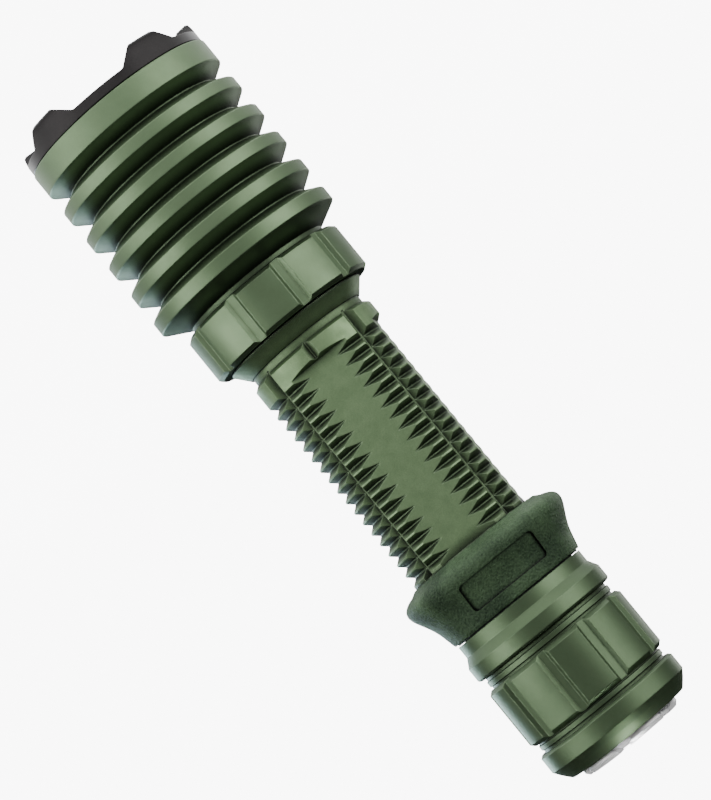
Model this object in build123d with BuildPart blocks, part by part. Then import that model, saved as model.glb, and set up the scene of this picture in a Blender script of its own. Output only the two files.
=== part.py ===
"""Tactical flashlight, standing head down on the tips of its strike bezel.

The long axis is Z. The bezel's lug tips lie on Z = 0 and the tail button points up.
The front one of the tube's milled flats faces -Y. All sizes are in millimetres.
"""

import os
from math import cos, radians, sin

from build123d import *

os.makedirs("parts", exist_ok=True)

# ---- driving dimensions -------------------------------------------------------------------

# Radii of the outside, from the head to the tail
head_r = 20.2
bezel_r = 19.95
fin_root_r = 16.9
neck_r = 15.2
collar_r = 17.4
collar_floor_r = 16.6
shoulder_r = 15.05
throat_r = 12.4
body_r = 13.5
tooth_root_r = 12.35
flat_distance = 11.95
grip_seat_r = 12.95
tail_r = 15.3
tail_floor_r = 14.55
tail_ring_r = 14.2
tail_groove_r = 13.9

# Heights along the axis, measured from the lug tips
bezel_top = 5.1
lug_height = 3.07
front_band_end = 9.98
fin_start = 13.87
fin_pitch = 6.6
fin_rim = 2.61
last_rim = 2.86
fin_count = 5
fin_end = 45.75
head_end = 46.65
collar_start = 46.85
collar_end = 56.8
shoulder_start = 56.9
cone_start = 57.25
cone_end = 60.0
body_start = 61.5
flat_start = 65.6
first_tooth = 67.2
tooth_pitch = 2.485
tooth_count = 17
grip_start = 108.8
cap_start = 121.8
cap_end = 153.2
button_top = 154.8

# The 21700 cell, and the bore that holds it
cell_r = 10.6
sleeve_r = 10.8
bore_r = 11.0
cell_start = 50.9
cell_end = 126.0

# Running fits and gaps
screw_gap = 0.08
seal_gap = 0.05
loose_gap = 0.3
face_gap = 0.1

# Turned positions about the axis, in degrees from the side that faces -Y
lug_turn = -38.0
collar_turn = -3.2
body_turn = -3.5
window_turn = 4.0
tail_turn = 5.55
button_turn = -12.0


# ---- shared ways of making a piece ----------------------------------------------------------

def facing(turn):
    """Angle about Z, from +X, of a direction turned from the -Y side of the light."""
    return -90.0 - turn


def turned(points, mode=Mode.ADD):
    """Revolve a closed outline of (radius, height) points about the axis."""
    with BuildSketch(Plane.XZ) as outline:
        with BuildLine():
            Polyline(points, close=True)
        make_face()
    revolve(outline.sketch, axis=Axis.Z, mode=mode)


def washer(inner_r, outer_r, low, high, mode=Mode.ADD):
    """A plain ring or disc between two heights."""
    turned([(inner_r, low), (outer_r, low), (outer_r, high), (inner_r, high)], mode)


def o_ring(inner_r, outer_r, height):
    """A round-section seal, given by its inner and outer radius and its middle height."""
    thickness = outer_r - inner_r
    with BuildSketch(Plane.XZ) as section:
        with Locations((inner_r + thickness / 2, height)):
            Circle(thickness / 2)
    revolve(section.sketch, axis=Axis.Z)


def lengthwise_grooves(count, turn, floor_r, floor_width, outer_r, low, high):
    """Straight grooves with 45 degree walls, cut along the outside of a turned piece."""
    reach = outer_r + 1.0
    half_floor = floor_width / 2
    half_mouth = half_floor + reach - floor_r
    with BuildSketch(Plane.XY.offset(low)) as section:
        with PolarLocations(0, count, start_angle=facing(turn)):
            Polygon(
                (floor_r, -half_floor),
                (reach, -half_mouth),
                (reach, half_mouth),
                (floor_r, half_floor),
                align=None,
            )
    extrude(section.sketch, amount=high - low, mode=Mode.SUBTRACT)


def coil(radius, wire_r, low, high, turns):
    """A helical compression spring between two heights, with the wire inside them."""
    rise = high - low - 2 * wire_r
    path = Helix(pitch=rise / turns, height=rise, radius=radius, center=(0, 0, low + wire_r))
    with BuildSketch(Plane(origin=path @ 0, z_dir=path % 0)) as wire:
        Circle(wire_r)
    sweep(wire.sketch, path=path, is_frenet=True)


def save(builder, name):
    """Label a finished piece and write its STEP file."""
    builder.part.label = name
    export_step(builder.part, f"parts/{name}.step")


# ---- strike bezel: five lugs on a ring, with a threaded skirt that screws into the head -----

skirt_r = 18.4
skirt_bore_r = 17.7
skirt_end = 9.5
lens_seat = 4.0
bezel_mouth_r = 17.6
bezel_window_r = 16.4
lug_count = 5
gap_half_mouth = 27.5
gap_half_floor = 17.0


def make_strike_bezel():
    with BuildPart() as strike_bezel:
        turned(
            [
                (bezel_mouth_r, 0),
                (bezel_r - 0.4, 0),
                (bezel_r, 0.4),
                (bezel_r, bezel_top - 0.15),
                (bezel_r - 0.15, bezel_top),
                (skirt_r, bezel_top),
                (skirt_r, skirt_end - 0.3),
                (skirt_r - 0.3, skirt_end),
                (skirt_bore_r, skirt_end),
                (skirt_bore_r, lens_seat),
                (bezel_window_r, lens_seat),
                (bezel_window_r, lens_seat - 0.8),
            ]
        )
        mouth = bezel_r * sin(radians(gap_half_mouth))
        floor = bezel_r * sin(radians(gap_half_floor))
        gap_middle = facing(lug_turn + 180 / lug_count)
        for index in range(lug_count):
            turn = gap_middle - index * 360 / lug_count
            outward = (cos(radians(turn)), sin(radians(turn)), 0)
            across = (-outward[1], outward[0], 0)
            with BuildSketch(Plane(origin=(0, 0, 0), x_dir=across, z_dir=outward)) as gap:
                with BuildLine():
                    Polyline([(-mouth, 0), (-floor, lug_height), (floor, lug_height), (mouth, 0)])
                    Polyline([(mouth, 0), (mouth, -1), (-mouth, -1), (-mouth, 0)])
                make_face()
                fillet(gap.vertices().group_by(Axis.Y)[-1], radius=1.0)
            extrude(gap.sketch, amount=bezel_r + 1, mode=Mode.SUBTRACT)
    save(strike_bezel, "strike_bezel")


# ---- front window: glass, its seal, and the reflector behind it -----------------------------

lens_r = 17.5
lens_end = 6.2
seal_r = 0.85
flange_start = 8.05
flange_end = 9.6
reflector_r = 15.4
reflector_end = 29.6
reflector_hole_r = 4.4
reflector_mouth_r = 15.9


def reflector_curve_r(height):
    """Radius of the polished parabola at a height above the lug tips."""
    depth = (reflector_end - height) / (reflector_end - flange_start)
    return (reflector_hole_r**2 + (reflector_mouth_r**2 - reflector_hole_r**2) * depth) ** 0.5


def make_lens_glass():
    with BuildPart() as lens_glass:
        washer(0, lens_r, lens_seat, lens_end)
        chamfer(lens_glass.edges().filter_by(GeomType.CIRCLE), length=0.2)
    save(lens_glass, "lens_glass")


def make_lens_seal():
    with BuildPart() as lens_seal:
        o_ring(lens_r - 2 * seal_r, lens_r, lens_end + seal_r)
    save(lens_seal, "lens_seal")


def make_reflector():
    step = (reflector_end - flange_start) / 8
    heights = [flange_start + index * step for index in range(9)]
    curve = [(reflector_curve_r(height), height) for height in heights]
    with BuildPart() as reflector:
        with BuildSketch(Plane.XZ):
            with BuildLine():
                Spline(curve)
                Polyline(
                    [
                        curve[-1],
                        (reflector_hole_r + 2.2, reflector_end),
                        (reflector_r - 5.0, 24.5),
                        (reflector_r - 1.9, 18.5),
                        (reflector_r, 12.0),
                        (reflector_r, flange_end),
                        (lens_r, flange_end),
                        (lens_r, flange_start),
                        curve[0],
                    ]
                )
            make_face()
        revolve(axis=Axis.Z)
    save(reflector, "reflector")


# ---- light engine: emitter, its board, the centring ring, two screws and two lead wires -----

shelf_start = 31.6
shelf_end = 36.0
board_r = 10.0
board_start = 30.4
emitter_half = 2.5
centring_r = 8.2
screw_offset = 7.6
wire_offset = 7.6
wire_r = 0.6
driver_start = 42.0


def make_led_board():
    with BuildPart() as led_board:
        washer(0, board_r, board_start, shelf_start)
        with BuildSketch(Plane.XY.offset(board_start)):
            with PolarLocations(screw_offset, 4):
                Circle(1.25)
        extrude(amount=shelf_start - board_start, mode=Mode.SUBTRACT)
    save(led_board, "led_board")


def make_led_emitter():
    with BuildPart() as led_emitter:
        with BuildSketch(Plane.XY.offset(board_start)):
            Rectangle(2 * emitter_half, 2 * emitter_half)
        extrude(amount=-0.6)
        with BuildSketch(Plane.XY.offset(board_start - 0.6)):
            Circle(2.1)
        extrude(amount=-1.0)
        fillet(led_emitter.faces().sort_by(Axis.Z)[0].edges(), radius=0.8)
    save(led_emitter, "led_emitter")


def make_centring_ring():
    with BuildPart() as centring_ring:
        washer(0, 6.0, reflector_end, board_start)
        with BuildSketch(Plane.XY.offset(reflector_end)):
            Rectangle(2 * emitter_half + 0.2, 2 * emitter_half + 0.2)
        extrude(amount=board_start - reflector_end, mode=Mode.SUBTRACT)
    save(centring_ring, "led_centring_ring")


def make_board_screws():
    with BuildPart() as board_screws:
        with BuildSketch(Plane.XY.offset(board_start)):
            with PolarLocations(screw_offset, 2):
                Circle(1.0)
        extrude(amount=4.0)
        with BuildSketch(Plane.XY.offset(board_start)):
            with PolarLocations(screw_offset, 2):
                Circle(1.6)
                RegularPolygon(0.75, 6, mode=Mode.SUBTRACT)
        extrude(amount=-0.7)
    save(board_screws, "led_board_screws")


def make_lead_wires():
    with BuildPart() as lead_wires:
        with BuildSketch(Plane.XY.offset(board_start + 0.05)):
            with PolarLocations(wire_offset, 2, start_angle=90):
                Circle(wire_r)
        extrude(amount=driver_start - board_start - 0.1)
    save(lead_wires, "lead_wires")


# ---- head housing: the finned heat sink, with the shelf that the light engine sits on -------

housing_bore_r = 15.6
skirt_hole_r = 18.45
driver_bay_r = 12.0
spigot_r = 14.6
spigot_end = 50.0
rim_break = 0.18
groove_lean = 0.57


def fin_outline():
    """Outside of the head, from its front edge to the neck ring."""
    points = [
        (head_r - 0.15, bezel_top + 0.05),
        (head_r, bezel_top + 0.2),
        (head_r, front_band_end - rim_break),
        (head_r - rim_break, front_band_end),
    ]
    groove_middle = front_band_end + (fin_start - front_band_end) * groove_lean
    for index in range(fin_count):
        rim_start = fin_start + index * fin_pitch
        rim_end = rim_start + (last_rim if index == fin_count - 1 else fin_rim)
        points += [
            (fin_root_r, groove_middle - 0.1),
            (fin_root_r, groove_middle + 0.1),
            (head_r - rim_break, rim_start),
            (head_r, rim_start + rim_break),
            (head_r, rim_end - rim_break),
            (head_r - rim_break, rim_end),
        ]
        groove_middle = rim_end + (fin_pitch - fin_rim) * groove_lean
    points += [(neck_r, fin_end), (neck_r, head_end - 0.1), (neck_r - 0.1, head_end)]
    return points


def make_head_housing():
    with BuildPart() as head_housing:
        turned(
            fin_outline()
            + [
                (spigot_r, head_end),
                (spigot_r, spigot_end - 0.3),
                (spigot_r - 0.3, spigot_end),
                (driver_bay_r, spigot_end),
                (driver_bay_r, shelf_end),
                (0, shelf_end),
                (0, shelf_start),
                (housing_bore_r, shelf_start),
                (housing_bore_r, flange_end),
                (skirt_hole_r, flange_end),
                (skirt_hole_r, bezel_top + 0.05),
            ]
        )
        with BuildSketch(Plane.XY.offset(shelf_start)):
            with PolarLocations(screw_offset, 2):
                Circle(1.0)
            with PolarLocations(wire_offset, 2, start_angle=90):
                Circle(wire_r + 0.5)
        extrude(amount=shelf_end - shelf_start, mode=Mode.SUBTRACT)
    save(head_housing, "head_housing")


# ---- driver: board, parts, the ring that clamps it and the contact that meets the cell ------

driver_end = 43.6
driver_ring_end = 46.6
contact_end = 49.7


def make_driver_board():
    with BuildPart() as driver_board:
        washer(0, driver_bay_r - 0.05, driver_start, driver_end)
    save(driver_board, "driver_board")


def make_driver_parts():
    with BuildPart() as driver_parts:
        with BuildSketch(Plane.XY.offset(driver_start)):
            RectangleRounded(6.0, 6.0, 0.8)
        extrude(amount=-3.4)
        with BuildSketch(Plane.XY.offset(driver_start)):
            with Locations((-7.0, 3.4), (7.0, -3.4)):
                Rectangle(3.2, 2.5)
            with Locations((-6.8, -3.2)):
                Rectangle(3.0, 3.0)
            with Locations((6.8, 3.4)):
                Circle(1.6)
        extrude(amount=-1.6)
    save(driver_parts, "driver_parts")


def make_driver_ring():
    with BuildPart() as driver_ring:
        washer(9.4, driver_bay_r - 0.05, driver_end, driver_ring_end)
        with BuildSketch(Plane.XY.offset(driver_ring_end - 1.2)):
            with PolarLocations(10.8, 2):
                Rectangle(3.2, 2.0)
        extrude(amount=1.2, mode=Mode.SUBTRACT)
    save(driver_ring, "driver_ring")


def make_front_contact():
    with BuildPart() as front_contact:
        washer(0, 4.2, driver_end, driver_end + 1.0)
        washer(0, 3.0, driver_end + 1.0, contact_end)
        chamfer(front_contact.faces().sort_by(Axis.Z)[-1].edges(), length=0.5)
    save(front_contact, "front_contact")


# ---- anti-roll collar: ten chamfered pads on a ring that screws onto the head's spigot -------

pad_count = 10
collar_bevel = 0.7
screw_r = 13.62


def make_anti_roll_collar():
    tube_hole_r = screw_r + screw_gap
    with BuildPart() as anti_roll_collar:
        turned(
            [
                (spigot_r + 0.05, collar_start),
                (collar_floor_r, collar_start),
                (collar_r, collar_start + collar_bevel),
                (collar_r, collar_end - collar_bevel),
                (collar_floor_r, collar_end),
                (tube_hole_r, collar_end),
                (tube_hole_r, spigot_end + 0.1),
                (spigot_r + 0.05, spigot_end + 0.1),
            ]
        )
        lengthwise_grooves(
            pad_count, collar_turn + 18, collar_floor_r, 1.5, collar_r, collar_start, collar_end
        )
    save(anti_roll_collar, "anti_roll_collar")


def make_collar_seal():
    with BuildPart() as collar_seal:
        washer(neck_r - 0.6, neck_r - 0.15, head_end, collar_start)
    save(collar_seal, "collar_gasket")


# ---- battery tube: threaded at both ends, toothed and with milled flats between -------------

tube_start = 50.6
tube_end = 129.5
cap_thread_r = 12.62
neck_groove = (54.9, 55.7)
tail_groove = (122.6, 123.6)
flat_turns = (0, 90, 180)
notch_floor_r = 12.5
valley_floor_r = 12.2


def tooth_outline(middle):
    """One ring-shaped V between two teeth, as a closed outline to cut."""
    half_root = 0.1
    half_mouth = tooth_pitch / 2 - 0.15
    rise = body_r - tooth_root_r
    outside = 1.0
    half_outside = half_mouth + outside * (half_mouth - half_root) / rise
    return [
        (tooth_root_r, middle - half_root),
        (body_r + outside, middle - half_outside),
        (body_r + outside, middle + half_outside),
        (tooth_root_r, middle + half_root),
    ]


def make_body_tube():
    with BuildPart() as body_tube:
        turned(
            [
                (bore_r + 0.3, tube_start),
                (screw_r - 0.4, tube_start),
                (screw_r, tube_start + 0.4),
                (screw_r, neck_groove[0]),
                (12.9, neck_groove[0]),
                (12.9, neck_groove[1]),
                (screw_r, neck_groove[1]),
                (screw_r, shoulder_start),
                (shoulder_r - 0.15, shoulder_start),
                (shoulder_r, shoulder_start + 0.15),
                (shoulder_r, cone_start),
                (throat_r + 0.35, cone_end),
                (throat_r, cone_end + 0.1),
                (throat_r, body_start),
                (body_r - 0.85, body_start),
                (body_r, body_start + 0.7),
                (body_r, grip_start - 0.1),
                (grip_seat_r, grip_start - 0.1),
                (grip_seat_r, cap_start - 0.1),
                (cap_thread_r, cap_start - 0.1),
                (cap_thread_r, tail_groove[0]),
                (11.85, tail_groove[0]),
                (11.85, tail_groove[1]),
                (cap_thread_r, tail_groove[1]),
                (cap_thread_r, tube_end - 0.4),
                (cap_thread_r - 0.4, tube_end),
                (bore_r + 0.3, tube_end),
                (bore_r, tube_end - 0.3),
                (bore_r, tube_start + 0.3),
            ]
        )
        for index in range(tooth_count):
            turned(tooth_outline(first_tooth + index * tooth_pitch), Mode.SUBTRACT)
        lengthwise_grooves(
            4, body_turn + 45, valley_floor_r, 0.3, body_r, body_start - 0.5, grip_start - 0.1
        )
        lengthwise_grooves(
            4, body_turn, notch_floor_r, 0.15, body_r, body_start - 0.5, flat_start - 0.4
        )
        for turn in flat_turns:
            outward = (
                cos(radians(facing(body_turn + turn))),
                sin(radians(facing(body_turn + turn))),
                0,
            )
            across = (outward[1], -outward[0], 0)
            with BuildSketch(Plane(origin=(0, 0, 0), x_dir=outward, z_dir=across)) as side:
                with BuildLine():
                    Polyline(
                        [
                            (flat_distance, flat_start),
                            (body_r + 1, flat_start - 1.25),
                            (body_r + 1, grip_start - 0.1),
                            (flat_distance, grip_start - 0.1),
                        ],
                        close=True,
                    )
                make_face()
            extrude(side.sketch, amount=body_r, both=True, mode=Mode.SUBTRACT)
    save(body_tube, "body_tube")


def make_neck_seal():
    with BuildPart() as neck_seal:
        o_ring(12.9 + seal_gap, screw_r + screw_gap - seal_gap, sum(neck_groove) / 2)
    save(neck_seal, "neck_seal")


def make_tail_seal():
    with BuildPart() as tail_seal:
        o_ring(11.87, cap_thread_r + screw_gap - seal_gap, sum(tail_groove) / 2)
    save(tail_seal, "tail_seal")


# ---- grip ring: moulded rubber, flared towards the head, with a sunk plate ------------------

grip_bore_r = 13.0
grip_step_r = 13.9
grip_end = 121.4
plate_width = 16.8
plate_low = 113.4
plate_high = 119.0
plate_depth = 0.45
grip_profile = [
    (15.2, 109.5),
    (16.9, 110.2),
    (17.75, 111.1),
    (17.9, 112.0),
    (17.45, 113.5),
    (16.5, 115.3),
    (15.6, 117.3),
    (15.05, 119.3),
    (14.65, 121.0),
]


def grip_outline(sink):
    """The flared outside of the grip ring, sunk by a depth, closed along the bore."""
    flare = [(radius - sink, height) for radius, height in grip_profile]
    with BuildSketch(Plane.XZ) as outline:
        with BuildLine():
            Spline(flare)
            Polyline(
                [
                    flare[-1],
                    (14.45 - sink, grip_end),
                    (grip_step_r, grip_end),
                    (grip_step_r, cap_start - 0.1),
                    (grip_bore_r, cap_start - 0.1),
                    (grip_bore_r, grip_start),
                    (14.0 - sink, grip_start),
                    flare[0],
                ]
            )
        make_face()
    return outline.sketch


def make_grip_ring():
    middle = (plate_low + plate_high) / 2
    turn = radians(facing(window_turn))
    outward = (cos(turn), sin(turn), 0)
    across = (-outward[1], outward[0], 0)
    with BuildPart() as grip_ring:
        revolve(grip_outline(0), axis=Axis.Z)
        with BuildSketch(Plane(origin=(0, 0, middle), x_dir=across, z_dir=outward)) as plate:
            RectangleRounded(plate_width, plate_high - plate_low, 0.9)
        extrude(plate.sketch, amount=20, mode=Mode.SUBTRACT)
        revolve(grip_outline(plate_depth), axis=Axis.Z)
    save(grip_ring, "grip_ring")


# ---- cell: steel can, printed sleeve, positive button and its insulating washer -------------

def make_battery():
    with BuildPart() as battery_can:
        washer(0, cell_r, cell_start, cell_end)
        fillet(battery_can.edges().filter_by(GeomType.CIRCLE), radius=0.8)
    save(battery_can, "battery_can")
    with BuildPart() as battery_sleeve:
        washer(cell_r + 0.01, sleeve_r, cell_start + 0.9, cell_end - 0.9)
    save(battery_sleeve, "battery_sleeve")
    with BuildPart() as battery_button:
        washer(0, 4.0, cell_start - 0.9, cell_start)
        chamfer(battery_button.faces().sort_by(Axis.Z)[0].edges(), length=0.3)
    save(battery_button, "battery_button")
    with BuildPart() as battery_washer:
        washer(4.4, 9.4, cell_start - 0.25, cell_start)
    save(battery_washer, "battery_washer")


# ---- tail cap: threaded onto the tube, with ten chamfered pads between turned rings ---------

cap_bore_end = 131.0
cap_bay_r = 12.2
cap_bay_end = 148.1
cap_mouth_r = 11.9
cap_pads_start = 131.65
cap_pads_end = 144.55
cap_bevel = tail_r - tail_floor_r


def make_tail_cap():
    with BuildPart() as tail_cap:
        turned(
            [
                (cap_thread_r + screw_gap, cap_start),
                (tail_ring_r, cap_start),
                (tail_ring_r, 124.25),
                (tail_r, 126.15),
                (tail_r, 128.75),
                (tail_r - 0.2, 129.05),
                (tail_r - 0.6, 129.25),
                (tail_groove_r, 129.35),
                (tail_groove_r, 129.95),
                (tail_ring_r - 0.15, 129.95),
                (tail_ring_r, 130.1),
                (tail_ring_r, 131.0),
                (tail_ring_r - 0.15, 131.15),
                (tail_groove_r, 131.15),
                (tail_groove_r, cap_pads_start),
                (tail_floor_r, cap_pads_start),
                (tail_r, cap_pads_start + cap_bevel),
                (tail_r, cap_pads_end - cap_bevel),
                (tail_floor_r, cap_pads_end),
                (tail_groove_r, cap_pads_end),
                (tail_groove_r, 144.9),
                (tail_ring_r - 0.15, 144.9),
                (tail_ring_r, 145.05),
                (tail_ring_r, 145.85),
                (tail_ring_r - 0.15, 146.0),
                (tail_groove_r, 146.0),
                (tail_groove_r, 146.55),
                (tail_r - 0.5, 146.6),
                (tail_r, 147.05),
                (tail_r, 150.2),
                (tail_r - 0.9, 151.5),
                (tail_r - 2.0, 152.8),
                (tail_r - 2.4, cap_end),
                (cap_mouth_r, cap_end),
                (cap_mouth_r, cap_bay_end),
                (cap_bay_r, cap_bay_end),
                (cap_bay_r, cap_bore_end),
                (cap_thread_r + screw_gap, cap_bore_end),
            ]
        )
        lengthwise_grooves(
            pad_count, tail_turn + 18, tail_floor_r, 1.45, tail_r, cap_pads_start, cap_pads_end
        )
    save(tail_cap, "tail_cap")


# ---- switch: board, tact switch, plastic holder, brass ring and the spring that meets the cell

switch_ring_start = 131.2
switch_board_start = 133.2
switch_board_end = 134.6
holder_end = 141.0
stem_r = 4.2
magnet_end = 144.4
flange_low = 146.7


def make_switch_ring():
    with BuildPart() as switch_ring:
        washer(8.6, cap_bay_r - 0.05, switch_ring_start, switch_board_start)
        with BuildSketch(Plane.XY.offset(switch_ring_start)):
            with PolarLocations(10.6, 2):
                Rectangle(3.4, 2.0)
        extrude(amount=1.0, mode=Mode.SUBTRACT)
    save(switch_ring, "switch_ring")


def make_switch_board():
    with BuildPart() as switch_board:
        washer(0, cap_bay_r - 0.1, switch_board_start, switch_board_end)
    save(switch_board, "switch_board")


def make_tact_switch():
    with BuildPart() as tact_switch:
        with BuildSketch(Plane.XY.offset(switch_board_end)):
            RectangleRounded(6.0, 6.0, 0.5)
        extrude(amount=1.7)
        with BuildSketch(Plane.XY.offset(switch_board_end + 1.7)):
            Circle(1.7)
        extrude(amount=0.5)
    save(tact_switch, "tact_switch")


def make_switch_holder():
    with BuildPart() as switch_holder:
        turned(
            [
                (5.0, switch_board_end),
                (cap_bay_r - 0.1, switch_board_end),
                (cap_bay_r - 0.1, holder_end),
                (stem_r + loose_gap, holder_end),
                (stem_r + loose_gap, switch_board_end + 2.6),
                (5.0, switch_board_end + 2.6),
            ]
        )
    save(switch_holder, "switch_holder")


def make_charge_magnet():
    with BuildPart() as charge_magnet:
        washer(stem_r + loose_gap, 6.8, holder_end, magnet_end)
    save(charge_magnet, "charge_magnet")


def make_cell_spring():
    with BuildPart() as cell_spring:
        coil(6.4, 0.45, cell_end + face_gap, switch_board_start - face_gap, 3.5)
    save(cell_spring, "cell_spring")


# ---- tail button: a lobed metal contact on a plastic stem, sprung and sealed in its bush -----

bush_r = 11.0
button_r = bush_r - loose_gap
lobe_count = 6
lobe_start = 153.4


def make_button_bush():
    with BuildPart() as button_bush:
        washer(bush_r, cap_mouth_r - 0.02, cap_bay_end, cap_end - 0.15)
    save(button_bush, "button_bush")


def make_tail_button():
    with BuildPart() as tail_button:
        turned(
            [
                (0, flange_low),
                (11.7, flange_low),
                (11.7, cap_bay_end - 0.15),
                (button_r, cap_bay_end - 0.15),
                (button_r, 149.55),
                (button_r - 0.6, 149.55),
                (button_r - 0.6, 150.45),
                (button_r, 150.45),
                (button_r, lobe_start + 0.7),
                (button_r - 0.6, button_top),
                (0, button_top),
            ]
        )
        with BuildSketch(Plane.XY.offset(button_top)) as valleys:
            with PolarLocations(8.6, lobe_count, start_angle=facing(button_turn)):
                Rectangle(5.2, 2.2)
            Circle(6.0)
            Circle(3.4, mode=Mode.SUBTRACT)
        extrude(valleys.sketch, amount=lobe_start - button_top, taper=-35, mode=Mode.SUBTRACT)
    save(tail_button, "tail_button")


def make_button_stem():
    with BuildPart() as button_stem:
        washer(0, stem_r, switch_board_end + 3.6, flange_low)
        chamfer(button_stem.faces().sort_by(Axis.Z)[0].edges(), length=0.5)
    save(button_stem, "button_stem")


def make_button_seal():
    with BuildPart() as button_seal:
        o_ring(button_r - 0.58, bush_r - seal_gap, 150.0)
    save(button_seal, "button_seal")


def make_button_spring():
    with BuildPart() as button_spring:
        coil(8.6, 0.35, holder_end, flange_low, 3.0)
    save(button_spring, "button_spring")


make_strike_bezel()
make_lens_glass()
make_lens_seal()
make_reflector()
make_led_board()
make_led_emitter()
make_centring_ring()
make_board_screws()
make_lead_wires()
make_head_housing()
make_driver_board()
make_driver_parts()
make_driver_ring()
make_front_contact()
make_anti_roll_collar()
make_collar_seal()
make_body_tube()
make_neck_seal()
make_tail_seal()
make_grip_ring()
make_battery()
make_tail_cap()
make_switch_ring()
make_switch_board()
make_tact_switch()
make_switch_holder()
make_charge_magnet()
make_cell_spring()
make_button_bush()
make_tail_button()
make_button_stem()
make_button_seal()
make_button_spring()
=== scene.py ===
"""Tactical flashlight: the looks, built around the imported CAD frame. All sizes are in metres."""
from math import cos, pi, radians, sin

import bpy
from mathutils import Matrix, Vector


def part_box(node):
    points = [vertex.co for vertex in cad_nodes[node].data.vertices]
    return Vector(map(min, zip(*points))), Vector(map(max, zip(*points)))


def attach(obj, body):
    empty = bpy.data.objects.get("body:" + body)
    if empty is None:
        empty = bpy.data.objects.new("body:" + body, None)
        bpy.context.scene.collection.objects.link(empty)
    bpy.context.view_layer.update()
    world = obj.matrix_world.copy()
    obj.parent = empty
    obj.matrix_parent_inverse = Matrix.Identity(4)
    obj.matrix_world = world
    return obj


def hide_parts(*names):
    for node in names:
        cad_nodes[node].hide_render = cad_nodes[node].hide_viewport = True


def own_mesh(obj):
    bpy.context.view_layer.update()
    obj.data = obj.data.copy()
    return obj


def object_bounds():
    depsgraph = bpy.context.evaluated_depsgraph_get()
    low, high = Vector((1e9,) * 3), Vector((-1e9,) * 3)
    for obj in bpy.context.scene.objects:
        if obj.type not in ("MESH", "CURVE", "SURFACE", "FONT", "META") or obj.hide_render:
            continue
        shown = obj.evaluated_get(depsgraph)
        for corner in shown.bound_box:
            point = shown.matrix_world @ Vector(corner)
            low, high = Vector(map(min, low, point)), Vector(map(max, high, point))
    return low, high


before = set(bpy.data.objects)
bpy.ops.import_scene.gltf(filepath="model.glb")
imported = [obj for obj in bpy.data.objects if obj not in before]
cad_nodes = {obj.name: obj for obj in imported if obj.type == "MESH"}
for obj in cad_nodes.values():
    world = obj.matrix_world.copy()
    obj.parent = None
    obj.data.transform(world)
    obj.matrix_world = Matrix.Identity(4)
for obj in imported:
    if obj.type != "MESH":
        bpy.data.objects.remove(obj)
cad_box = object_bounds()
MM = 0.001


# ---- strike bezel ---------------------------------------------------------------------------
# A crown of five lugs turned and milled from steel, then coated satin black. It screws into
# the front of the head and clamps the window. The coating is rubbed thin on the lug corners.

def group_tree(name, inputs, outputs):
    """A shader group with the named sockets, given as (name, kind, default)."""
    tree = bpy.data.node_groups.new(name, "ShaderNodeTree")
    for socket_name, kind, default in inputs:
        socket = tree.interface.new_socket(name=socket_name, in_out="INPUT", socket_type=kind)
        socket.default_value = default
    for socket_name, kind in outputs:
        tree.interface.new_socket(name=socket_name, in_out="OUTPUT", socket_type=kind)
    return tree, tree.nodes.new("NodeGroupInput"), tree.nodes.new("NodeGroupOutput")


def add_node(tree, kind, links=None, **settings):
    """A shader node with its properties set, and its inputs set or linked by name or number."""
    node = tree.nodes.new(kind)
    for name, value in settings.items():
        setattr(node, name, value)
    for name, value in (links or {}).items():
        if isinstance(value, bpy.types.NodeSocket):
            tree.links.new(value, node.inputs[name])
        else:
            node.inputs[name].default_value = value
    return node


def math_node(tree, operation, first, second=0.0):
    """The result of one sum on two values or sockets."""
    return add_node(tree, "ShaderNodeMath", {0: first, 1: second}, operation=operation).outputs[0]


def colour_mix(tree, amount, first, second):
    """One colour turning into another as the amount goes from 0 to 1."""
    mix = add_node(tree, "ShaderNodeMix", {0: amount, 6: first, 7: second}, data_type="RGBA")
    return mix.outputs[2]


def value_range(tree, value, low, high, to_low, to_high):
    """A value stretched from one range to another, held at its ends."""
    links = {"Value": value, "From Min": low, "From Max": high, "To Min": to_low, "To Max": to_high}
    return add_node(tree, "ShaderNodeMapRange", links).outputs["Result"]


def make_grain_group():
    """Blasted or moulded surface grain: slow tone changes, fine specks and a height."""
    tree, given, result = group_tree(
        "surface_grain",
        [
            ("Grain Size", "NodeSocketFloat", 0.2),
            ("Patch Size", "NodeSocketFloat", 8.0),
        ],
        [("Tone", "NodeSocketFloat"), ("Specks", "NodeSocketFloat"), ("Height", "NodeSocketFloat")],
    )
    place = add_node(tree, "ShaderNodeTexCoord").outputs["Object"]
    fine_scale = math_node(tree, "DIVIDE", 1 / MM, given.outputs["Grain Size"])
    slow_scale = math_node(tree, "DIVIDE", 1 / MM, given.outputs["Patch Size"])
    fine = add_node(
        tree, "ShaderNodeTexNoise", {"Vector": place, "Scale": fine_scale, "Detail": 3.0}
    )
    slow = add_node(
        tree, "ShaderNodeTexNoise", {"Vector": place, "Scale": slow_scale, "Detail": 4.0}
    )
    tree.links.new(value_range(tree, slow.outputs[0], 0.35, 0.65, 0.0, 1.0), result.inputs["Tone"])
    tree.links.new(value_range(tree, fine.outputs[0], 0.3, 0.7, 0.0, 1.0), result.inputs["Specks"])
    tree.links.new(fine.outputs[0], result.inputs["Height"])
    return tree


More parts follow.
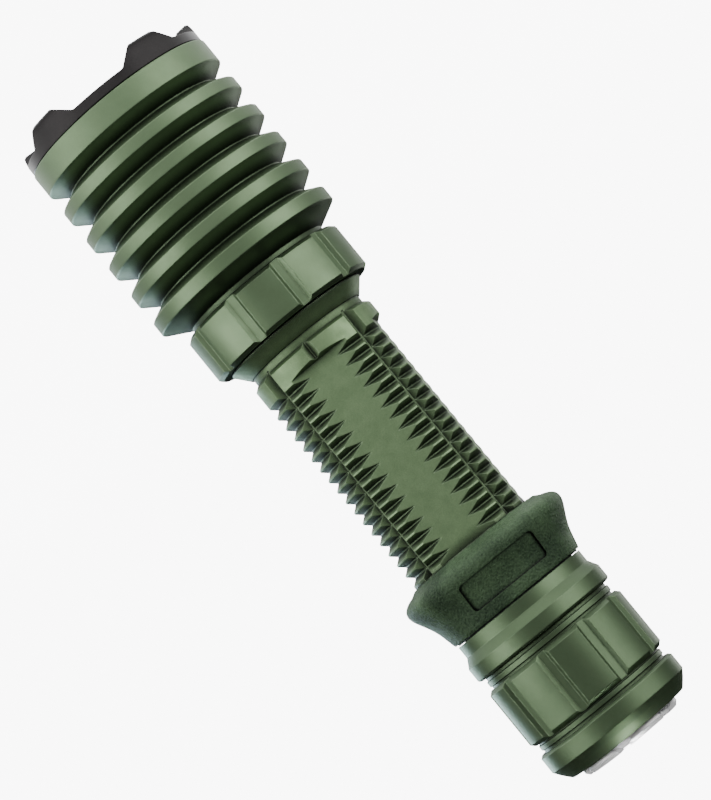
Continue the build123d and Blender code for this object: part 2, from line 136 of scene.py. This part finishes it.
def make_edge_group():
    """Edges broken by hand: a softened normal, and a patchy mask of where they are painted lighter,
    partly as rubbed wear and partly as a painted highlight.
    """
    tree, given, result = group_tree(
        "rubbed_and_highlit_edges",
        [
            ("Edge Width", "NodeSocketFloat", 0.2),
            ("Rub", "NodeSocketFloat", 0.5),
        ],
        [("Mask", "NodeSocketFloat"), ("Normal", "NodeSocketVector")],
    )
    radius = math_node(tree, "MULTIPLY", given.outputs["Edge Width"], MM)
    soft = add_node(tree, "ShaderNodeBevel", {"Radius": radius}, samples=4)
    true_normal = add_node(tree, "ShaderNodeNewGeometry").outputs["Normal"]
    agree = add_node(
        tree, "ShaderNodeVectorMath", {0: soft.outputs[0], 1: true_normal}, operation="DOT_PRODUCT"
    )
    edge = value_range(tree, agree.outputs["Value"], 0.99, 0.86, 0.0, 1.0)
    place = add_node(tree, "ShaderNodeTexCoord").outputs["Object"]
    patches = add_node(
        tree, "ShaderNodeTexNoise", {"Vector": place, "Scale": 420.0, "Detail": 4.0}
    )
    patchy = value_range(tree, patches.outputs[0], 0.35, 0.6, 0.35, 1.0)
    patchy_edge = math_node(tree, "MULTIPLY", edge, patchy)
    mask = math_node(tree, "MULTIPLY", patchy_edge, given.outputs["Rub"])
    tree.links.new(mask, result.inputs["Mask"])
    tree.links.new(soft.outputs[0], result.inputs["Normal"])
    return tree


surface_grain = make_grain_group()
rubbed_and_highlit_edges = make_edge_group()


def new_material(name, **settings):
    """An empty material, with constant values set on its shader's own sockets."""
    material = bpy.data.materials.new(name)
    material.use_nodes = True
    shader = material.node_tree.nodes["Principled BSDF"]
    for socket, value in settings.items():
        shader.inputs[socket.replace("_", " ")].default_value = value
    return material, material.node_tree, shader


def worked_surface(
    name, dark, light, roughness, grain, height, edge=0.2, rub_and_highlight=0.0, worn_and_highlit=(0.5, 0.5, 0.5, 1),
    patch=8.0, painted_groove_shade=None, **settings
):
    """A material with tone, grain, a roughness range, softened edges, edges painted lighter as wear
    and as a highlight, and painted shade in grooves.

    Grain size, its height, the edge width and the tone patches are in millimetres.
    painted_groove_shade paints shade into corners and grooves: how far in millimetres it
    reaches, then how open a place is where that painted shade is darkest and where it ends.
    """
    material, tree, shader = new_material(name, **settings)
    skin = add_node(tree, "ShaderNodeGroup", node_tree=surface_grain)
    skin.inputs["Grain Size"].default_value = grain
    skin.inputs["Patch Size"].default_value = patch
    edges = add_node(tree, "ShaderNodeGroup", node_tree=rubbed_and_highlit_edges)
    edges.inputs["Edge Width"].default_value = edge
    edges.inputs["Rub"].default_value = rub_and_highlight
    tone = math_node(tree, "ADD", math_node(tree, "MULTIPLY", skin.outputs["Tone"], 0.6),
                     math_node(tree, "MULTIPLY", skin.outputs["Specks"], 0.4))
    colour = colour_mix(tree, tone, dark, light)
    # Painted shade: an occlusion test darkens the colour in corners and grooves, where shade falls.
    if painted_groove_shade:
        reach_mm, darkest, clear = painted_groove_shade
        open_air = add_node(
            tree, "ShaderNodeAmbientOcclusion", {"Distance": reach_mm * MM}, samples=6
        )
        shade = value_range(tree, open_air.outputs["AO"], darkest, clear, 0.0, 1.0)
        painted_shade_colour = tuple(channel * 0.06 for channel in dark[:3]) + (1,)
        colour = colour_mix(tree, shade, painted_shade_colour, colour)
    # Edges are mixed towards the lighter edge colour: partly rubbed wear, partly a painted highlight
    # along each edge.
    colour = colour_mix(tree, edges.outputs["Mask"], colour, worn_and_highlit)
    tree.links.new(colour, shader.inputs["Base Color"])
    rough = value_range(tree, tone, 0.0, 1.0, roughness[1], roughness[0])
    tree.links.new(rough, shader.inputs["Roughness"])
    relief = {
        "Height": skin.outputs["Height"],
        "Distance": height * MM,
        "Normal": edges.outputs["Normal"],
    }
    bump = add_node(tree, "ShaderNodeBump", relief)
    tree.links.new(bump.outputs[0], shader.inputs["Normal"])
    return material


def dress(material, *names):
    """Give CAD nodes or new pieces their material."""
    for name in names:
        mesh = cad_nodes[name].data if isinstance(name, str) else name.data
        mesh.materials.clear()
        mesh.materials.append(material)


# Painted shade darkens the bezel's corners and the gaps between its lugs.
black_coating = worked_surface(
    "satin_black_coating", (0.016, 0.015, 0.015, 1), (0.028, 0.026, 0.026, 1), (0.26, 0.36),
    grain=0.15, height=0.008, edge=0.25, rub_and_highlight=0.25, worn_and_highlit=(0.14, 0.14, 0.14, 1),
    painted_groove_shade=(2.0, 0.4, 0.9), Metallic=0.9,
)
dress(black_coating, "strike_bezel")


# ---- front window ---------------------------------------------------------------------------
# A coated glass disc pressed against the bezel by a rubber ring, with a drawn aluminium
# reflector behind it. The reflector's bowl is vapour coated, so it is nearly a true mirror.

window_glass, glass_tree, glass_shader = new_material(
    "window_glass", Transmission_Weight=1.0, Roughness=0.02, IOR=1.5, Coat_Weight=0.3
)
glass_shader.inputs["Base Color"].default_value = (0.94, 0.97, 1.0, 1)
dress(window_glass, "lens_glass")

seal_rubber = worked_surface(
    "seal_rubber", (0.01, 0.01, 0.01, 1), (0.02, 0.02, 0.02, 1), (0.5, 0.65), grain=0.2, height=0.01
)
dress(seal_rubber, "lens_seal")

bowl_mirror = worked_surface(
    "bowl_mirror", (0.86, 0.86, 0.87, 1), (0.93, 0.93, 0.94, 1), (0.05, 0.09), grain=1.0,
    height=0.001, Metallic=1.0,
)
dress(bowl_mirror, "reflector")


# ---- light engine ---------------------------------------------------------------------------
# A square emitter soldered to a copper star board, held down on the head's shelf by two
# screws. A white plastic ring centres it in the reflector, and two sleeved wires feed it.

board_copper = worked_surface(
    "board_copper", (0.55, 0.25, 0.14, 1), (0.72, 0.38, 0.22, 1), (0.25, 0.4), grain=0.3,
    height=0.01, Metallic=1.0,
)
dress(board_copper, "led_board")

phosphor = worked_surface(
    "phosphor", (0.85, 0.62, 0.08, 1), (0.95, 0.76, 0.14, 1), (0.2, 0.3), grain=0.1, height=0.01,
    Coat_Weight=0.8,
)
dress(phosphor, "led_emitter")

white_plastic = worked_surface(
    "white_plastic", (0.72, 0.72, 0.7, 1), (0.82, 0.82, 0.8, 1), (0.4, 0.5), grain=0.2, height=0.006
)
dress(white_plastic, "led_centring_ring", "battery_washer")

plated_steel = worked_surface(
    "plated_steel", (0.5, 0.49, 0.47, 1), (0.64, 0.63, 0.6, 1), (0.22, 0.34), grain=0.3,
    height=0.004, Metallic=1.0,
)
dress(plated_steel, "led_board_screws", "tact_switch")

wire_sleeve = worked_surface(
    "wire_sleeve", (0.45, 0.02, 0.015, 1), (0.62, 0.04, 0.03, 1), (0.4, 0.5), grain=0.2, height=0.006
)
dress(wire_sleeve, "lead_wires")


# ---- head housing ---------------------------------------------------------------------------
# Turned from aluminium bar with five cooling rims, blasted and hard anodised olive green.
# The edges are broken by a small bevel and painted lighter, partly as rubbed anodising and partly as
# a painted highlight, and painted shade darkens the grooves between the rims.

green_anodising = worked_surface(
    "green_anodising", (0.1, 0.15, 0.08, 1), (0.13, 0.19, 0.105, 1), (0.4, 0.47), grain=0.12,
    height=0.006, edge=0.22, rub_and_highlight=0.8, worn_and_highlit=(0.27, 0.37, 0.23, 1), painted_groove_shade=(3.0, 0.3, 0.85),
    Metallic=0.85,
)
dress(green_anodising, "head_housing")


# ---- anti-roll collar -----------------------------------------------------------------------
# A ring of ten chamfered pads, turned and milled from the same aluminium and anodised with the
# head. It is screwed onto the head's spigot against a flat gasket.

dress(green_anodising, "anti_roll_collar")
dress(seal_rubber, "collar_gasket")


# ---- body tube ------------------------------------------------------------------------------
# Turned from aluminium, toothed all round and milled flat on three sides. It is blasted more
# coarsely than the head, so that it shines less, and screws are cut on both of its ends.

# Painted shade darkens the tooth grooves, and the edges are painted lighter, partly as rubbed wear
# and partly as a painted highlight.
blasted_anodising = worked_surface(
    "blasted_anodising", (0.15, 0.23, 0.115, 1), (0.21, 0.31, 0.16, 1), (0.46, 0.56), grain=0.25,
    height=0.03, edge=0.16, rub_and_highlight=0.9, worn_and_highlit=(0.3, 0.4, 0.26, 1), patch=2.5,
    painted_groove_shade=(2.6, 0.64, 1.0), Metallic=0.75,
)


def make_thread_group():
    """A right-hand screw thread cut round the Z axis, as a normal between two heights."""
    tree, given, result = group_tree(
        "screw_thread",
        [
            ("Pitch", "NodeSocketFloat", 1.0),
            ("Low", "NodeSocketFloat", 0.0),
            ("High", "NodeSocketFloat", 1.0),
            ("Normal", "NodeSocketVector", (0, 0, 0)),
        ],
        [("Normal", "NodeSocketVector")],
    )
    place = add_node(tree, "ShaderNodeTexCoord").outputs["Object"]
    split = add_node(tree, "ShaderNodeSeparateXYZ", {0: place})
    turn = math_node(tree, "ARCTAN2", split.outputs["Y"], split.outputs["X"])
    height_mm = math_node(tree, "DIVIDE", split.outputs["Z"], MM)
    turns = math_node(tree, "DIVIDE", turn, 2 * pi)
    rows = math_node(tree, "DIVIDE", height_mm, given.outputs["Pitch"])
    along = math_node(tree, "SUBTRACT", rows, turns)
    ridge = math_node(tree, "PINGPONG", along, 0.5)
    above = math_node(tree, "GREATER_THAN", height_mm, given.outputs["Low"])
    below = math_node(tree, "LESS_THAN", height_mm, given.outputs["High"])
    cut = math_node(tree, "MULTIPLY", ridge, math_node(tree, "MULTIPLY", above, below))
    bump = add_node(
        tree,
        "ShaderNodeBump",
        {"Height": cut, "Distance": 1.1 * MM, "Normal": given.outputs["Normal"]},
    )
    tree.links.new(bump.outputs[0], result.inputs["Normal"])
    return tree


screw_thread = make_thread_group()
tube_tree = blasted_anodising.node_tree
tube_shader = tube_tree.nodes["Principled BSDF"]
tube_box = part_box("body_tube")
seal_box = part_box("tail_seal")
for low, high in (
    (tube_box[0].z / MM + 0.5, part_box("neck_seal")[0].z / MM - 0.1),
    (seal_box[1].z / MM + 0.4, tube_box[1].z / MM - 0.5),
):
    skin_normal = tube_shader.inputs["Normal"].links[0].from_socket
    thread = add_node(tube_tree, "ShaderNodeGroup", node_tree=screw_thread)
    thread.inputs["Low"].default_value = low
    thread.inputs["High"].default_value = high
    tube_tree.links.new(skin_normal, thread.inputs["Normal"])
    tube_tree.links.new(thread.outputs["Normal"], tube_shader.inputs["Normal"])
dress(blasted_anodising, "body_tube")
dress(seal_rubber, "neck_seal", "tail_seal")


# ---- driver ---------------------------------------------------------------------------------
# A round circuit board with its parts on the lamp side, clamped in the head by a slotted
# brass ring. A gold plated disc on its other side meets the cell.

circuit_board = worked_surface(
    "circuit_board", (0.015, 0.09, 0.035, 1), (0.03, 0.14, 0.06, 1), (0.25, 0.35), grain=0.4,
    height=0.01, Coat_Weight=0.5,
)
dress(circuit_board, "driver_board", "switch_board")

chip_plastic = worked_surface(
    "chip_plastic", (0.02, 0.02, 0.022, 1), (0.04, 0.04, 0.042, 1), (0.45, 0.6), grain=0.1,
    height=0.01,
)
dress(chip_plastic, "driver_parts")

turned_brass = worked_surface(
    "turned_brass", (0.52, 0.36, 0.13, 1), (0.68, 0.5, 0.2, 1), (0.25, 0.4), grain=0.3,
    height=0.006, Metallic=1.0,
)
dress(turned_brass, "driver_ring", "switch_ring")

gold_plating = worked_surface(
    "gold_plating", (0.75, 0.52, 0.2, 1), (0.85, 0.62, 0.27, 1), (0.18, 0.28), grain=0.3,
    height=0.004, Metallic=1.0,
)
dress(gold_plating, "front_contact", "cell_spring")


# ---- cell -----------------------------------------------------------------------------------
# One rechargeable 21700 cell: a nickel plated can in a printed shrink sleeve, with a small
# welded button and a paper washer at its positive end.

nickel_plating = worked_surface(
    "nickel_plating", (0.55, 0.54, 0.5, 1), (0.68, 0.66, 0.62, 1), (0.2, 0.32), grain=0.4,
    height=0.004, Metallic=1.0,
)
dress(nickel_plating, "battery_can", "battery_button", "charge_magnet")

shrink_sleeve = worked_surface(
    "shrink_sleeve", (0.02, 0.02, 0.022, 1), (0.035, 0.035, 0.04, 1), (0.18, 0.3), grain=0.8,
    height=0.01, Coat_Weight=0.3,
)
dress(shrink_sleeve, "battery_sleeve")


# ---- grip ring ------------------------------------------------------------------------------
# A flared collar moulded in green rubber, pulled over the tube and trapped by the tail cap.
# Its skin is finely grained, and a plain sunk plate is moulded into the side.

# Painted shade darkens the edges of the sunk plate and the grip's recesses.
green_rubber = worked_surface(
    "green_rubber", (0.017, 0.037, 0.017, 1), (0.095, 0.16, 0.08, 1), (0.52, 0.66), grain=0.42,
    height=0.4, edge=0.15, rub_and_highlight=0.25, worn_and_highlit=(0.16, 0.25, 0.13, 1), painted_groove_shade=(0.9, 0.55, 0.95),
    Specular_IOR_Level=0.25,
)
dress(green_rubber, "grip_ring")


# ---- tail cap -------------------------------------------------------------------------------
# Turned and milled from the same aluminium as the head, with ten pads between turned rings, and
# anodised with it. It screws onto the tube's end and traps the grip ring.

dress(green_anodising, "tail_cap")


# ---- switch and button ----------------------------------------------------------------------
# A satin steel contact disc with six shallow lobes, on a plastic stem that presses the
# switch. It slides in a plastic bush, on a spring, and a ring magnet sits below it.

moulded_black = worked_surface(
    "moulded_black", (0.018, 0.018, 0.018, 1), (0.03, 0.03, 0.03, 1), (0.45, 0.6), grain=0.2,
    height=0.01,
)
dress(moulded_black, "switch_holder", "button_bush", "button_stem")

spring_wire = worked_surface(
    "spring_wire", (0.4, 0.4, 0.4, 1), (0.55, 0.55, 0.55, 1), (0.25, 0.35), grain=0.3,
    height=0.004, Metallic=1.0,
)
spring_mesh = cad_nodes["button_spring"].data.copy()
live_spring = bpy.data.objects.new("button_return_spring", spring_mesh)
bpy.context.scene.collection.objects.link(live_spring)
dress(spring_wire, "button_spring", live_spring)
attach(live_spring, "cap")
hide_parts("button_spring")
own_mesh(live_spring)

satin_silver = worked_surface(
    "satin_silver", (0.8, 0.8, 0.8, 1), (0.9, 0.9, 0.9, 1), (0.35, 0.45), grain=0.15,
    height=0.006, edge=0.3, rub_and_highlight=0.3, worn_and_highlit=(0.95, 0.95, 0.95, 1), Metallic=0.45,
)
dress(satin_silver, "tail_button")
dress(seal_rubber, "button_seal")


# ---- studio ---------------------------------------------------------------------------------
# A pale floor, which also glows in a painted pool of light under the flashlight to light it from
# below, two wide soft boxes either side of the camera, and a cooler light behind that draws a line
# down the far left side. A narrow snoot above picks out the silver button.

floor_mesh = bpy.data.meshes.new("floor")
floor_half = 4.0
floor_mesh.from_pydata(
    [(x * floor_half, y * floor_half, 0) for x, y in ((-1, -1), (1, -1), (1, 1), (-1, 1))],
    [],
    [(0, 1, 2, 3)],
)
floor = bpy.data.objects.new("floor", floor_mesh)
bpy.context.scene.collection.objects.link(floor)
floor_paint, floor_tree, floor_shader = new_material("pale_floor", Roughness=0.8)
floor_shader.inputs["Base Color"].default_value = (0.35, 0.36, 0.36, 1)
floor_shader.inputs["Emission Color"].default_value = (1, 1, 1, 1)
# To the camera the floor is evenly white. To everything else it glows like a lamp, in a painted pool
# of light that is brightest under the flashlight and fades outwards, and this lights the flashlight
# from below.
looked_at = add_node(floor_tree, "ShaderNodeLightPath").outputs["Is Camera Ray"]
floor_place = add_node(floor_tree, "ShaderNodeTexCoord").outputs["Object"]
from_middle = add_node(floor_tree, "ShaderNodeVectorMath", {0: floor_place}, operation="LENGTH")
glowing_light_pool = value_range(floor_tree, from_middle.outputs["Value"], 0.04, 0.32, 1.9, 0.45)
glow = add_node(floor_tree, "ShaderNodeMix", {0: looked_at, 2: glowing_light_pool, 3: 9.0}).outputs[0]
floor_tree.links.new(glow, floor_shader.inputs["Emission Strength"])
dress(floor_paint, floor)

world = bpy.data.worlds.new("studio")
bpy.context.scene.world = world
world.use_nodes = True
air = world.node_tree
backdrop = air.nodes["Background"]
backdrop.inputs["Color"].default_value = (1.0, 1.0, 1.0, 1)
backdrop.inputs["Strength"].default_value = 9.0
dim = add_node(air, "ShaderNodeBackground", {"Color": (0.8, 0.85, 0.9, 1), "Strength": 0.02})
seen = add_node(air, "ShaderNodeLightPath").outputs["Is Camera Ray"]
both = add_node(air, "ShaderNodeMixShader", {0: seen, 1: dim.outputs[0], 2: backdrop.outputs[0]})
air.links.new(both.outputs[0], air.nodes["World Output"].inputs["Surface"])

middle = (cad_box[0] + cad_box[1]) / 2


def soft_box(name, turn, distance, size, power, colour=(1, 1, 1), lift=0.0):
    """A rectangular light, turned about the light's axis from the -Y side, facing it."""
    lamp = bpy.data.lights.new(name, "AREA")
    lamp.shape = "RECTANGLE"
    lamp.size, lamp.size_y = size
    lamp.energy = power
    lamp.color = colour
    holder = bpy.data.objects.new(name, lamp)
    angle = radians(-90 - turn)
    holder.location = middle + Vector((cos(angle) * distance, sin(angle) * distance, lift))
    aim = (middle - holder.location).to_track_quat("-Z", "Y")
    holder.rotation_mode = "QUATERNION"
    holder.rotation_quaternion = aim
    bpy.context.scene.collection.objects.link(holder)
    return holder


soft_box("left_box", -64, 0.6, (0.5, 0.16), 3.6, lift=-0.0775)
soft_box("right_box", 59, 0.6, (0.5, 0.16), 3.5, lift=-0.0775)
soft_box("back_left_box", -150, 0.6, (0.2, 0.4), 2.0, (0.7, 0.9, 1.0), lift=0.0)
soft_box("back_right_box", 150, 0.6, (0.2, 0.4), 0.6, lift=0.0)

snoot = bpy.data.lights.new("button_snoot", "SPOT")
snoot.energy = 10.0
snoot.spot_size = radians(3.8)
snoot.spot_blend = 0.3
snoot.shadow_soft_size = 0.01
snoot_holder = bpy.data.objects.new("button_snoot", snoot)
button_middle = Vector((0, 0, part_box("tail_button")[1].z))
snoot_holder.location = button_middle + Vector((0, -0.06, 0.3))
snoot_aim = button_middle - snoot_holder.location
snoot_holder.rotation_mode = "QUATERNION"
snoot_holder.rotation_quaternion = snoot_aim.to_track_quat("-Z", "Y")
bpy.context.scene.collection.objects.link(snoot_holder)

camera_data = bpy.data.cameras.new("camera")
camera_data.lens = 156.6
camera_data.sensor_width = 36.0
camera_data.clip_start = 0.01
camera = bpy.data.objects.new("camera", camera_data)
bpy.context.scene.collection.objects.link(camera)
bpy.context.scene.camera = camera
place = Vector((0.0001, -0.6385, 0.1217))
target = Vector((0.0001, 0.0, 0.0746))
back = (place - target).normalized()
roll = radians(50.85)
up_hint = Vector((-cos(roll), 0, -sin(roll)))
right = up_hint.cross(back).normalized()
up = back.cross(right)
camera.matrix_world = Matrix.Translation(place) @ Matrix((right, up, back)).transposed().to_4x4()
